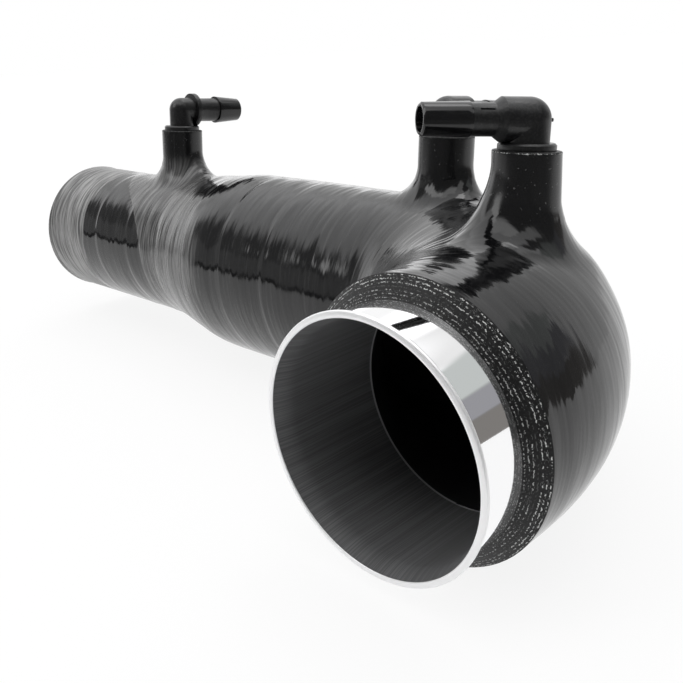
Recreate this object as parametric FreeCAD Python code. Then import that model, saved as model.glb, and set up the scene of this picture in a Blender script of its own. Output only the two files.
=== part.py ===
import FreeCAD
import Part
import math
import os
from FreeCAD import Placement, Rotation, Vector

# Turbo intake hose: a moulded, laid-up hose with an elbow at one end, three raised bosses along its
# top, a thin metal sleeve in its mouth and a barbed elbow fitting in each boss. Sizes in millimetres.
# X runs along the main tube (far cuff at -X, elbow at +X), the mouth faces -Y and the bosses stand up
# in +Z. The modelling places the bend's outer corner at zero; main() moves everything to the base.

# Centreline
BEND_RADIUS = 80.5          # centreline of the elbow
BEND_ANGLE = 90.0           # degrees
MOUTH_STRAIGHT = 15.2       # from the mouth's inner edge to the start of the bend
MAIN_LENGTH = 93.2          # straight full-size tube after the bend
FLARE_LENGTH = 53.8         # reduction from the main tube to the cuff
CUFF_LENGTH = 102.1

# Bores: the sleeve's inside is flush with the duct, and the cuff fits over the turbo's inlet
DUCT_R = 38.0               # 76 mm from the mouth to the flare
CUFF_BORE_R = 30.0          # 60 mm at the far end

# Sleeve in the mouth
SLEEVE_WALL = 2.0
SLEEVE_OUTER_R = DUCT_R + SLEEVE_WALL
SLEEVE_INSIDE = 25.0        # length held in the hose
SLEEVE_OUTSIDE = 18.4       # length standing out of the hose
BELL_LENGTH = 9.0           # length of the widened rim
BELL_RISE = 1.9             # growth of the radius at the rim
RIM_ROUND = 0.35 * SLEEVE_WALL
DUCT_RELIEF = 3.0           # straight run of the duct past the sleeve's inner end

# Walls of the hose
MOUTH_WALL = 6.7            # round the sleeve
MAIN_WALL = 5.7
CUFF_WALL = 6.0
MOUTH_OUTER_R = SLEEVE_OUTER_R + MOUTH_WALL
MAIN_OUTER_R = DUCT_R + MAIN_WALL
CUFF_OUTER_R = CUFF_BORE_R + CUFF_WALL
MOUTH_BEVEL = 5.0           # the cut end slopes back this far from its inner edge to its outer edge

# Bosses: the fitting's stub fills the bore, and the top stands this far over the tube's outside
BOSS_BORE_R = 7.0
BOSS_WALL = 4.0
BOSS_R = BOSS_BORE_R + BOSS_WALL
BOSS_LEAN = 6.3             # degrees, the row of bosses turned about the main tube towards +Y
NEAR_WALL_LEAN = 4.0        # the near boss's wall stands a little straighter than its seat
NEAR_WALL_TIP = -2.4        # degrees towards +X
FAR_BOSS_FROM_FLARE = 15.3  # along the cuff
MID_BOSS_ANGLE = 77.9       # degrees round the bend from its start
NEAR_BOSS_ANGLE = 27.3
NEAR_BOSS_OUTWARD = 7.8     # moved from the centreline to the outside of the bend
FAR_BOSS_RISE = 25.7        # boss tops over the outside of the tube under them
MID_BOSS_RISE = 24.8
NEAR_BOSS_RISE = 25.9
FAR_BOSS_TOP = CUFF_OUTER_R + FAR_BOSS_RISE
MID_BOSS_TOP = MAIN_OUTER_R + MID_BOSS_RISE
NEAR_BOSS_TOP = MOUTH_OUTER_R + NEAR_BOSS_RISE

# Blends at the feet of the bosses: the near and middle ones share the room between their walls
FOOT_HALF_ANGLE = math.radians((MID_BOSS_ANGLE - NEAR_BOSS_ANGLE) / 2.0)
FOOT_ROOM = 2.0 * BEND_RADIUS * math.sin(FOOT_HALF_ANGLE) - 2.0 * BOSS_R
NEAR_BOSS_FILLET = 0.62 * FOOT_ROOM
MID_BOSS_FILLET = 0.43 * FOOT_ROOM
FAR_BOSS_FILLET = 21.0

# Elbow fittings: a stub in the boss, a flange on the boss top, a turned arm and a barbed tail
FLANGE_THICK = 2.3
FLANGE_EDGE = 0.6
STUB_LENGTH = 20.0
TIP_CHAMFER = 0.5
GATE_NUB_R = 0.6
GATE_NUB_LENGTH = 1.1
MID_CORNER_HEIGHT = 8.0     # the middle fitting's arm lies lower than the near one's

# The near and middle fittings: a slim tail on an arm as thick as the stub. Lengths from the leg's axis
SLIM_FLANGE_MARGIN = 1.7    # boss top left bare round the flange
SLIM_CORNER_HEIGHT = 9.3    # middle of the arm over the boss top
SLIM_ARM_LENGTH = 9.3
SLIM_SHOULDER_LENGTH = 2.6
SLIM_NECK_R = 5.2
SLIM_BARB_START = 19.9
SLIM_BARB_R = 5.5
SLIM_TIP_R = 5.1
SLIM_TAIL_LENGTH = 35.6
SLIM_BORE_R = 3.9

# The far fitting: a wider tail behind a collar
WIDE_FLANGE_MARGIN = 2.0
WIDE_LEG_STEP = 0.8         # the leg is this much slimmer than the stub
WIDE_CORNER_HEIGHT = 10.3
WIDE_ARM_LENGTH = 5.6
WIDE_COLLAR_LENGTH = 2.4
WIDE_COLLAR_R = 8.4
WIDE_SHOULDER_LENGTH = 0.9
WIDE_NECK_R = 5.95
WIDE_BARB_START = 20.5
WIDE_BARB_R = 6.9
WIDE_TIP_R = 5.8
WIDE_TAIL_LENGTH = 34.5
WIDE_BORE_R = 4.6

SLIM_TAIL = {
    "leg_r": BOSS_BORE_R,
    "flange_r": BOSS_R - SLIM_FLANGE_MARGIN,
    "corner_height": SLIM_CORNER_HEIGHT,
    "arm_length": SLIM_ARM_LENGTH,
    "shoulder_length": SLIM_SHOULDER_LENGTH,
    "collar_r": 0.0,
    "neck_r": SLIM_NECK_R,
    "barb_start": SLIM_BARB_START,
    "barb_r": SLIM_BARB_R,
    "tip_r": SLIM_TIP_R,
    "tail_length": SLIM_TAIL_LENGTH,
    "bore_r": SLIM_BORE_R,
    "gate_nub": True,
}
WIDE_TAIL = {
    "leg_r": BOSS_BORE_R - WIDE_LEG_STEP,
    "flange_r": BOSS_R - WIDE_FLANGE_MARGIN,
    "corner_height": WIDE_CORNER_HEIGHT,
    "arm_length": WIDE_ARM_LENGTH,
    "shoulder_length": WIDE_SHOULDER_LENGTH,
    "collar_r": WIDE_COLLAR_R,
    "collar_length": WIDE_COLLAR_LENGTH,
    "neck_r": WIDE_NECK_R,
    "barb_start": WIDE_BARB_START,
    "barb_r": WIDE_BARB_R,
    "tip_r": WIDE_TIP_R,
    "tail_length": WIDE_TAIL_LENGTH,
    "bore_r": WIDE_BORE_R,
    "gate_nub": False,
}
FAR_TAIL_TURN = 85.0        # degrees from +X about the boss
MID_TAIL_TURN = 81.0
NEAR_TAIL_TURN = 236.7

# Places derived from the sizes above, with the origin under the middle of the whole hose
ARC_LENGTH = math.radians(BEND_ANGLE) * BEND_RADIUS
TUBE_LENGTH = MAIN_LENGTH + FLARE_LENGTH + CUFF_LENGTH
FAR_X = -BEND_RADIUS - TUBE_LENGTH
MOUTH_Y = -BEND_RADIUS - MOUTH_STRAIGHT
RIM_Y = MOUTH_Y - SLEEVE_OUTSIDE
BASE = Vector(-(FAR_X + MOUTH_OUTER_R) / 2.0, -(RIM_Y + MAIN_OUTER_R) / 2.0, MOUTH_OUTER_R)
BEND_CENTRE = Vector(-BEND_RADIUS, -BEND_RADIUS, 0)
BOSS_TURN = Rotation(Vector(1, 0, 0), -BOSS_LEAN)
BOSS_AXIS = BOSS_TURN.multVec(Vector(0, 0, 1))
NEAR_WALL_TIPPED = Rotation(Vector(0, 1, 0), NEAR_WALL_TIP)
NEAR_WALL_TURN = NEAR_WALL_TIPPED.multiply(Rotation(Vector(1, 0, 0), -NEAR_WALL_LEAN))
OVERLAP = 1.0               # extra length of tools that cut through a face


def smooth(t):
    t = min(max(t, 0.0), 1.0)
    return t * t * (3.0 - 2.0 * t)


def outer_radius(s):
    """Outside radius of the hose at the distance s along the centreline from the mouth."""
    half = MOUTH_STRAIGHT + ARC_LENGTH * 0.5
    bend_end = MOUTH_STRAIGHT + ARC_LENGTH
    flare_start = bend_end + MAIN_LENGTH
    if s < bend_end:
        return MOUTH_OUTER_R + (MAIN_OUTER_R - MOUTH_OUTER_R) * smooth((s - half) / (bend_end - half))
    return MAIN_OUTER_R + (CUFF_OUTER_R - MAIN_OUTER_R) * smooth((s - flare_start) / FLARE_LENGTH)


def centre_and_heading(s):
    """Point and direction of the centreline at the distance s from the mouth."""
    if s <= MOUTH_STRAIGHT:
        return Vector(0, MOUTH_Y + s, 0), Vector(0, 1, 0)
    if s <= MOUTH_STRAIGHT + ARC_LENGTH:
        a = (s - MOUTH_STRAIGHT) / BEND_RADIUS
        point = BEND_CENTRE + Vector(math.cos(a), math.sin(a), 0) * BEND_RADIUS
        return point, Vector(-math.sin(a), math.cos(a), 0)
    along = s - MOUTH_STRAIGHT - ARC_LENGTH
    return Vector(-BEND_RADIUS - along, 0, 0), Vector(-1, 0, 0)


def stations(start, length, count):
    return [start + length * k / count for k in range(count)]


def section(s):
    """Circle across the hose, with its seam at the bottom, away from the bosses."""
    point, heading = centre_and_heading(s)
    down = Vector(0, 0, -1)
    turn = Rotation(down, heading.cross(down), heading, "ZXY")
    circle = Part.makeCircle(outer_radius(s))
    circle.Placement = Placement(point, turn)
    return Part.Wire([circle])


def outer_body():
    marks = stations(0.0, MOUTH_STRAIGHT, 2)
    marks += stations(MOUTH_STRAIGHT, ARC_LENGTH, 14)
    marks += stations(MOUTH_STRAIGHT + ARC_LENGTH, MAIN_LENGTH, 5)
    marks += stations(MOUTH_STRAIGHT + ARC_LENGTH + MAIN_LENGTH, FLARE_LENGTH, 8)
    marks += stations(MOUTH_STRAIGHT + ARC_LENGTH + MAIN_LENGTH + FLARE_LENGTH, CUFF_LENGTH, 5)
    marks.append(MOUTH_STRAIGHT + ARC_LENGTH + TUBE_LENGTH)
    return Part.makeLoft([section(s) for s in marks], True, False)


def turned(points, axis_start, axis):
    """Solid of revolution from a closed list of (along, radius) points about an axis."""
    side = axis.cross(Vector(0, 0, 1))
    corners = [axis_start + axis * a + side * r for a, r in points]
    face = Part.Face(Part.makePolygon(corners + [corners[0]]))
    return face.revolve(axis_start, axis, 360)


def flare_points(count):
    """Bore of the reduction as (distance into the flare, radius)."""
    steps = [k / count for k in range(count + 1)]
    return [(FLARE_LENGTH * t, DUCT_R + (CUFF_BORE_R - DUCT_R) * smooth(t)) for t in steps]


def duct():
    """Everything inside the hose from the mouth to the far end, as one solid to cut away."""
    straight = max(MOUTH_STRAIGHT, SLEEVE_INSIDE + DUCT_RELIEF) + OVERLAP
    mouth = Part.makeCylinder(DUCT_R, straight, Vector(0, MOUTH_Y - OVERLAP, 0), Vector(0, 1, 0))
    ring = Part.makeCircle(DUCT_R, Vector(0, -BEND_RADIUS, 0), Vector(0, 1, 0))
    bend = Part.Face(Part.Wire([ring])).revolve(BEND_CENTRE, Vector(0, 0, 1), BEND_ANGLE)
    main = Part.makeCylinder(DUCT_R, MAIN_LENGTH, Vector(-BEND_RADIUS, 0, 0), Vector(-1, 0, 0))
    flare_x = -BEND_RADIUS - MAIN_LENGTH
    curve = Part.BSplineCurve()
    curve.interpolate([Vector(flare_x - a, r, 0) for a, r in flare_points(8)],
                      InitialTangent=Vector(-1, 0, 0), FinalTangent=Vector(-1, 0, 0))
    start = Vector(flare_x, 0, 0)
    end = Vector(flare_x - FLARE_LENGTH, 0, 0)
    outline = Part.Wire([curve.toShape(), Part.makeLine(Vector(end.x, CUFF_BORE_R, 0), end),
                         Part.makeLine(end, start), Part.makeLine(start, Vector(start.x, DUCT_R, 0))])
    flare = Part.Face(outline).revolve(start, Vector(-1, 0, 0), 360)
    cuff = Part.makeCylinder(CUFF_BORE_R, CUFF_LENGTH + OVERLAP, end, Vector(-1, 0, 0))
    return mouth.fuse([bend, main, flare, cuff])


def boss_base(key):
    """Point on the centreline plane that a boss stands over."""
    if key == "far":
        return Vector(-BEND_RADIUS - MAIN_LENGTH - FLARE_LENGTH - FAR_BOSS_FROM_FLARE, 0, 0)
    angle = MID_BOSS_ANGLE if key == "mid" else NEAR_BOSS_ANGLE
    outward = 0.0 if key == "mid" else NEAR_BOSS_OUTWARD
    out = Vector(math.cos(math.radians(angle)), math.sin(math.radians(angle)), 0)
    return BEND_CENTRE + out * (BEND_RADIUS + outward)


BOSSES = {
    "far": {"top": FAR_BOSS_TOP, "fillet": FAR_BOSS_FILLET, "wall_turn": BOSS_TURN,
            "tail_turn": FAR_TAIL_TURN, "fitting": WIDE_TAIL},
    "mid": {"top": MID_BOSS_TOP, "fillet": MID_BOSS_FILLET, "wall_turn": BOSS_TURN,
            "tail_turn": MID_TAIL_TURN, "fitting": dict(SLIM_TAIL, corner_height=MID_CORNER_HEIGHT)},
    "near": {"top": NEAR_BOSS_TOP, "fillet": NEAR_BOSS_FILLET, "wall_turn": NEAR_WALL_TURN,
             "tail_turn": NEAR_TAIL_TURN, "fitting": SLIM_TAIL},
}


def boss_seat(key):
    """Middle of the flat top that a fitting sits on."""
    return boss_base(key) + BOSS_AXIS * BOSSES[key]["top"]


def add_boss(body, key):
    """Stands a boss on the hose and blends its foot into the tube."""
    top = BOSSES[key]["top"]
    seat = boss_seat(key)
    axis = BOSSES[key]["wall_turn"].multVec(Vector(0, 0, 1))
    base = seat - axis * top
    post = Part.makeCylinder(BOSS_R, top + BOSS_R, base, axis)
    above_seat = Part.makeCylinder(BOSS_R * 2.0, BOSS_R * 3.0, seat, BOSS_AXIS)
    joined = body.fuse(post.cut(above_seat))
    foot = []
    for edge in joined.Edges:
        samples = edge.discretize(9)
        heights = [(p - base).dot(axis) for p in samples]
        offsets = [p - base - axis * h for p, h in zip(samples, heights)]
        on_boss = all(abs(o.Length - BOSS_R) < 0.05 for o in offsets)
        straight = edge.Curve.TypeId == "Part::GeomLine"
        if on_boss and max(heights) < top - 2.0 and not straight:
            foot.append(edge)
    return joined.makeFillet(BOSSES[key]["fillet"], foot)


def mouth_bevel():
    """Ring cut off the mouth so that its end slopes back from the inner to the outer edge."""
    start = Vector(0, MOUTH_Y, 0)
    slope = MOUTH_BEVEL / (MOUTH_OUTER_R - SLEEVE_OUTER_R)
    reach = MOUTH_OUTER_R + 4.0
    back = slope * (reach - SLEEVE_OUTER_R)
    points = [(0.0, SLEEVE_OUTER_R), (back, reach), (-OVERLAP, reach), (-OVERLAP, SLEEVE_OUTER_R)]
    return turned(points, start, Vector(0, 1, 0))


def silicone_hose():
    body = outer_body()
    for key in BOSSES:
        body = add_boss(body, key)
    seat_start = Vector(0, MOUTH_Y - OVERLAP, 0)
    seat = Part.makeCylinder(SLEEVE_OUTER_R, SLEEVE_INSIDE + OVERLAP, seat_start, Vector(0, 1, 0))
    body = body.cut([mouth_bevel(), duct(), seat])
    for key in BOSSES:
        depth = BOSSES[key]["top"] - CUFF_BORE_R * 0.6
        bottom = boss_seat(key) - BOSS_AXIS * depth
        body = body.cut(Part.makeCylinder(BOSS_BORE_R, depth + OVERLAP, bottom, BOSS_AXIS))
    return body.removeSplitter()


def inlet_sleeve():
    """Thin tube with a gently belled rim; its inner end lies flush with the duct."""
    total = SLEEVE_INSIDE + SLEEVE_OUTSIDE
    bell = total - BELL_LENGTH
    start = Vector(0, MOUTH_Y + SLEEVE_INSIDE, 0)
    axis = Vector(0, -1, 0)
    side = axis.cross(Vector(0, 0, 1))

    def at(along, radius):
        return start + axis * along + side * radius

    def bell_curve(radius):
        middle = at(bell + BELL_LENGTH * 0.5, radius + BELL_RISE * 0.25)
        curve = Part.BSplineCurve()
        curve.interpolate([at(bell, radius), middle, at(total, radius + BELL_RISE)],
                          InitialTangent=axis * BELL_LENGTH,
                          FinalTangent=axis * BELL_LENGTH + side * BELL_RISE * 2.0)
        return curve.toShape()

    outer_r = SLEEVE_OUTER_R
    inner_r = DUCT_R
    outline = Part.Wire(Part.__sortEdges__([
        Part.makeLine(at(0, inner_r), at(0, outer_r)),
        Part.makeLine(at(0, outer_r), at(bell, outer_r)),
        bell_curve(outer_r),
        Part.makeLine(at(total, outer_r + BELL_RISE), at(total, inner_r + BELL_RISE)),
        bell_curve(inner_r),
        Part.makeLine(at(bell, inner_r), at(0, inner_r)),
    ]))
    tube = Part.Face(outline).revolve(start, axis, 360)
    circles = [e for e in tube.Edges if e.Curve.TypeId == "Part::GeomCircle"]
    rim = [e for e in circles if abs((e.CenterOfMass - start).dot(axis) - total) < 0.01]
    return tube.makeFillet(RIM_ROUND, rim)


def elbow_fitting(key):
    """Fitting about the boss axis, its tail along local X, moved to its boss."""
    spec = BOSSES[key]["fitting"]
    leg_r = spec["leg_r"]
    tail_length = spec["tail_length"]
    up = Vector(0, 0, 1)
    out = Vector(1, 0, 0)
    corner = Vector(0, 0, spec["corner_height"])
    leg = Part.makeCylinder(leg_r, spec["corner_height"], Vector(0, 0, 0), up)
    stub = Part.makeCylinder(BOSS_BORE_R, STUB_LENGTH, Vector(0, 0, -STUB_LENGTH), up)
    flange = Part.makeCylinder(spec["flange_r"], FLANGE_THICK, Vector(0, 0, 0), up)
    circles = [e for e in flange.Edges if e.Curve.TypeId == "Part::GeomCircle"]
    flange = flange.makeChamfer(FLANGE_EDGE, [e for e in circles if e.CenterOfMass.z > FLANGE_THICK * 0.5])
    ball = Part.makeSphere(leg_r, corner)
    arm_end = spec["arm_length"]
    neck_start = arm_end + spec["shoulder_length"]
    outline = [(0.0, 0.0), (0.0, leg_r), (arm_end, leg_r)]
    if spec["collar_r"] > 0.0:
        outline += [(arm_end, spec["collar_r"]), (arm_end + spec["collar_length"], spec["collar_r"])]
        neck_start = arm_end + spec["collar_length"] + spec["shoulder_length"]
    outline += [(neck_start, spec["neck_r"]), (spec["barb_start"], spec["neck_r"])]
    outline += [(spec["barb_start"], spec["barb_r"]), (tail_length - TIP_CHAMFER, spec["tip_r"])]
    outline += [(tail_length, spec["tip_r"] - TIP_CHAMFER), (tail_length, 0.0)]
    tail = turned(outline, corner, out)
    body = leg.fuse([stub, flange, ball, tail])
    if spec["gate_nub"]:
        nub_start = corner - out * leg_r * 0.75
        body = body.fuse(Part.makeCylinder(GATE_NUB_R, leg_r * 0.25 + GATE_NUB_LENGTH, nub_start, out * -1))
    bore_r = spec["bore_r"]
    bottom = Vector(0, 0, -STUB_LENGTH - OVERLAP)
    upright = Part.makeCylinder(bore_r, STUB_LENGTH + spec["corner_height"] + OVERLAP, bottom, up)
    across = Part.makeCylinder(bore_r, tail_length + OVERLAP, corner, out)
    body = body.cut([upright, across, Part.makeSphere(bore_r, corner)]).removeSplitter()
    turn = BOSS_TURN.multiply(Rotation(up, BOSSES[key]["tail_turn"]))
    body.Placement = Placement(boss_seat(key), turn)
    return body


def main():
    os.makedirs("parts", exist_ok=True)
    nodes = {
        "silicone_hose": silicone_hose(),
        "inlet_sleeve": inlet_sleeve(),
        "far_elbow": elbow_fitting("far"),
        "middle_elbow": elbow_fitting("mid"),
        "near_elbow": elbow_fitting("near"),
    }
    for name, shape in nodes.items():
        shape.translate(BASE)
        print(name, "valid", shape.isValid(), "volume cm3", round(shape.Volume / 1000.0, 2))
        shape.exportStep(os.path.join("parts", name + ".step"))


main()
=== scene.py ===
# %% [markdown]
# # A turbo intake hose
# The real hose is laid up by hand: sheets of silicone and polyester cloth are wrapped round a mandrel,
# taped tight, cured and cut to length. This lesson dresses the CAD frame of such a hose. The hose is
# modelled the way it is made, from a flat sheet that is then wrapped, and the sleeve and the elbow
# fittings get the small roundings and finishes that plain solids lack.

# %% Load the frame
import math

import bmesh
import bpy
import numpy as np
from mathutils import Matrix, Vector


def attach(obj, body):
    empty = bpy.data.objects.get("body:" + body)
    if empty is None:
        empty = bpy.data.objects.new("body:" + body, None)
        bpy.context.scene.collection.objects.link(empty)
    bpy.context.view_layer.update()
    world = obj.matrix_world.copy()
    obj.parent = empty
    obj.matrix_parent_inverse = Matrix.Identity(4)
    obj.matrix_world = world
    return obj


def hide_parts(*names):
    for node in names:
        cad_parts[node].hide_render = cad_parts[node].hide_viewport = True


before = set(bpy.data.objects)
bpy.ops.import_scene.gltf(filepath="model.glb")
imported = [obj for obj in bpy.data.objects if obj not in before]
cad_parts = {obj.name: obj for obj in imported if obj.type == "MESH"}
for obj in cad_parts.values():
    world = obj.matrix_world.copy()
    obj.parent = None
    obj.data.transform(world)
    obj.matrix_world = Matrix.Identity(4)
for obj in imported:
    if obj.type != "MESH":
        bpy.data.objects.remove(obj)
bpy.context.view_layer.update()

bpy.ops.object.select_all(action="DESELECT")
scene = bpy.context.scene
scene.view_settings.view_transform = "Standard"

# %% [markdown]
# ## Camera
# The camera stands where the photographer's stood. Its place and lens come from matching the outlines
# of the hose. A lens of 46 mm on a 36 mm sensor keeps the near mouth large and the far cuff small.
# It is made first, because the light is judged through it.

# %% Camera
CAMERA_PLACE = Vector((0.29697, -0.23558, 0.16566))
CAMERA_FORWARD = Vector((-0.6715, 0.6487, -0.3583)).normalized()
CAMERA_UP = Vector((-0.2109, 0.2963, 0.9315))
CAMERA_LENS = 46.38

camera_data = bpy.data.cameras.new("camera")
camera = bpy.data.objects.new("camera", camera_data)
scene.collection.objects.link(camera)
camera_right = CAMERA_FORWARD.cross(CAMERA_UP).normalized()
camera_up = camera_right.cross(CAMERA_FORWARD)
turn = Matrix((camera_right, camera_up, -CAMERA_FORWARD)).transposed()
camera.matrix_world = Matrix.Translation(CAMERA_PLACE) @ turn.to_4x4()
camera_data.lens = CAMERA_LENS
camera_data.clip_start = 0.01
scene.camera = camera
print("camera at", [round(v, 3) for v in camera.location])

# %% [markdown]
# ## The hose's form
# Before any mesh is made, the form is written down as a rule. A point's distance from the hose is its
# distance from the bent centreline less the tube's radius there, and each boss is a round post. A
# rounded union joins the two, so the post's foot runs into the tube in a wide blend. Vertices can then
# be pulled onto the surface from anywhere near it, and every blend comes out smooth.

# %% Sizes of the hose, in millimetres
MM = 0.001
BEND_RADIUS = 80.5
BEND_CENTRE = np.array([60.95, -45.3])
AXIS_HEIGHT = 46.7
MOUTH_STRAIGHT = 15.2
ARC = math.pi / 2 * BEND_RADIUS
BEND_END = MOUTH_STRAIGHT + ARC
FLARE_START = BEND_END + 93.2
FLARE_LENGTH, CUFF_LENGTH = 53.8, 102.1
HOSE_LENGTH = FLARE_START + FLARE_LENGTH + CUFF_LENGTH
MOUTH_R, MAIN_R, CUFF_R = 46.7, 43.7, 36.0
SEAT_R, DUCT_R, CUFF_BORE_R = 40.03, 38.0, 30.0
SLEEVE_INSIDE = 25.0
MOUTH_BEVEL = 5.0
BOSS_BORE_R = 7.03
print("hose along its centreline:", round(HOSE_LENGTH, 1), "mm")


def ease(t):
    t = np.clip(t, 0.0, 1.0)
    return t * t * (3.0 - 2.0 * t)


def outer_radius(s):
    """Outside radius at the distance s along the centreline from the mouth."""
    half = MOUTH_STRAIGHT + ARC * 0.5
    to_main = MOUTH_R + (MAIN_R - MOUTH_R) * ease((s - half) / (BEND_END - half))
    return to_main + (CUFF_R - MAIN_R) * ease((s - FLARE_START) / FLARE_LENGTH)


def duct_radius(s):
    return DUCT_R + (CUFF_BORE_R - DUCT_R) * ease((s - FLARE_START) / FLARE_LENGTH)


def centreline(s):
    """Point on the centreline and the sideways direction there, towards the outside of the bend."""
    angle = np.clip((s - MOUTH_STRAIGHT) / BEND_RADIUS, 0.0, math.pi / 2)
    side = np.stack([np.cos(angle), np.sin(angle), np.zeros_like(angle)], axis=-1)
    before = np.minimum(s - MOUTH_STRAIGHT, 0.0)
    after = np.maximum(s - BEND_END, 0.0)
    point = np.zeros_like(side)
    point[..., 0] = BEND_CENTRE[0] + BEND_RADIUS * side[..., 0] - after
    point[..., 1] = BEND_CENTRE[1] + BEND_RADIUS * side[..., 1] + before
    point[..., 2] = AXIS_HEIGHT
    return point, side


def tube_place(p):
    """Distance s along the centreline, turn round it from the bottom, and distance from it."""
    x = p[..., 0] - BEND_CENTRE[0]
    y = p[..., 1] - BEND_CENTRE[1]
    angle = np.clip(np.arctan2(y, x), 0.0, math.pi / 2)
    in_mouth = y < 0.0
    in_main = (x < 0.0) & ~in_mouth
    straights = [in_mouth, in_main]
    s = np.select(straights, [MOUTH_STRAIGHT + y, BEND_END - x], MOUTH_STRAIGHT + angle * BEND_RADIUS)
    out = np.select(straights, [x, y], np.hypot(x, y)) - BEND_RADIUS
    z = p[..., 2] - AXIS_HEIGHT
    return s, np.arctan2(out, -z), np.hypot(out, z)


# %% [markdown]
# ## Bosses and swells
# Each boss is a round post, given by the middle of its top and its axis. The blend at its foot is wider on
# some sides than on others, as the cloth was laid by hand, and extra cloth swells the tube beside two of
# them. The functions below make one distance of all this, and its slope gives the surface's normal.

# %% The three bosses
LEAN = math.radians(6.3)
SEAT_AXIS = np.array([0.0, math.sin(LEAN), math.cos(LEAN)])
NEAR_WALL_AXIS = np.array([-0.0418, 0.0698, 0.9967])
# rounds are the radii of the foot's blend on the right, front, left and back of a boss in the picture
BOSSES = {
    "far": {"seat": (-101.35, 41.97, 108.03), "axis": SEAT_AXIS, "top": 61.7, "radius": 10.5,
            "rounds": (18.0, 12.0, 16.0, 18.0)},
    "mid": {"seat": (77.82, 40.93, 114.79), "axis": SEAT_AXIS, "top": 68.5, "radius": 11.0,
            "rounds": (17.0, 13.0, 15.0, 20.0)},
    "near": {"seat": (139.41, 3.17, 118.86), "axis": NEAR_WALL_AXIS, "top": 72.6, "radius": 11.0,
             "rounds": (26.0, 16.0, 23.0, 27.0)},
}
# place, width and height of each swell
SWELLS = [((152.0, 17.0, 88.0), 15.0, 2.4), ((-74.0, 45.0, 86.0), 17.0, 3.0)]
# a post counts from this height up; step to measure slopes; longest pull at a time
POST_FROM, SLOPE_STEP, PULL_MOST = 20.0, 0.02, 6.0
PICTURE_RIGHT = np.array([0.712, 0.702, 0.0])
PICTURE_FRONT = np.array([0.702, -0.712, 0.0])
for boss in BOSSES.values():
    boss["seat"] = np.array(boss["seat"])
    boss["axis"] = boss["axis"] / np.linalg.norm(boss["axis"])
    boss["base"] = boss["seat"] - boss["axis"] * boss["top"]


def foot_round(key, radial):
    """Radius of the blend at a boss's foot, eased from side to side round the boss."""
    right, front, left, back = BOSSES[key]["rounds"]
    length = np.maximum(np.linalg.norm(radial, axis=-1), 1e-6)
    across, near = radial @ PICTURE_RIGHT / length, radial @ PICTURE_FRONT / length
    total = np.where(across > 0, right, left) * across ** 2 + np.where(near > 0, front, back) * near ** 2
    return total / np.maximum(across ** 2 + near ** 2, 1e-6)


def boss_parts(key, p):
    """Height up the boss and the vector out from its axis."""
    boss = BOSSES[key]
    d = p - boss["base"]
    height = d @ boss["axis"]
    return height, d - height[..., None] * boss["axis"]


def hose_distance(p):
    """Distance of points from the hose's outside, with a ball rolled round the foot of each boss."""
    s, _, reach = tube_place(p)
    tube = reach - outer_radius(s)
    for place, width, height in SWELLS:
        tube = tube - height * np.exp(-((p - np.array(place)) ** 2).sum(axis=-1) / width ** 2)
    tube_out = (p - centreline(s)[0]) / np.maximum(reach, 1e-6)[..., None]
    nearest = tube
    for key in BOSSES:
        height, radial = boss_parts(key, p)
        length = np.linalg.norm(radial, axis=-1)
        post = np.where(height < POST_FROM, 1e3, length - BOSSES[key]["radius"])
        lean = np.clip((tube_out * radial).sum(axis=-1) / np.maximum(length, 1e-6), -0.95, 0.95)
        r = foot_round(key, radial)
        to_tube, to_post, spread = tube - r, post - r, 1.0 - lean ** 2
        under = (lean * to_post - to_tube > 0.0) & (lean * to_tube - to_post > 0.0)
        ball = np.sqrt(np.maximum(to_tube ** 2 + to_post ** 2 - 2 * lean * to_tube * to_post, 0.0) / spread)
        nearest = np.minimum(nearest, np.where(under, r - ball, np.minimum(tube, post)))
    return nearest


def hose_slope(p):
    rise = [hose_distance(p + e) - hose_distance(p - e) for e in np.eye(3) * SLOPE_STEP]
    return np.stack(rise, axis=-1) / (2 * SLOPE_STEP)


def hose_normal(p):
    n = hose_slope(p)
    return n / np.maximum(np.linalg.norm(n, axis=-1), 1e-9)[..., None]


def pull_onto_hose(p, steps=9):
    for _ in range(steps):
        slope = hose_slope(p)
        pull = hose_distance(p) / np.maximum((slope ** 2).sum(axis=-1), 0.05)
        p = p - slope * np.clip(pull, -PULL_MOST, PULL_MOST)[..., None]
    return p


for key, boss in BOSSES.items():
    s, theta, _ = tube_place(boss["seat"])
    boss["s"], boss["theta"] = float(s), float(theta) % math.tau
    print(key, "boss stands at s =", round(boss["s"], 1), "mm")

# %% [markdown]
# ## The flat sheet
# A sheet of quads stands for the unrolled hose. Its rows run along the outside, round the far end, back
# along the duct, up the sleeve's seat and out over the cut face to where they began. Three windows are
# cut for the bosses, and each window's edge is extruded upwards and divided into rings. Doing it flat
# keeps the selections simple, as every vertex knows its row, its column and its ring.

# %% Make the sheet
COLUMNS = 84
ROW_PLAN = [("outside", 500), ("far_end", 5), ("duct", 60), ("step", 1), ("seat", 4), ("cut_face", 8)]
ROW_BREAKS = np.cumsum([0] + [count for _, count in ROW_PLAN])
ROWS = int(ROW_BREAKS[-1])
ROW_S = [MOUTH_BEVEL, HOSE_LENGTH, HOSE_LENGTH, SLEEVE_INSIDE, SLEEVE_INSIDE, 0.0, MOUTH_BEVEL]
RING_PLAN = [("blend", 30), ("wall", 8), ("edge", 3), ("top", 3), ("bore", 2)]
EDGE_ROUND, BORE_DEPTH, FLAT = 0.6, 21.0, 0.01
RING_BREAKS = np.cumsum([0] + [count for _, count in RING_PLAN])
RINGS = int(RING_BREAKS[-1])
WINDOWS = {"far": (34.0, 36.0, 58.0, 58.0), "mid": (31.5, 32.0, 44.0, 44.0), "near": (40.0, 32.0, 58.0, 52.0)}


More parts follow.
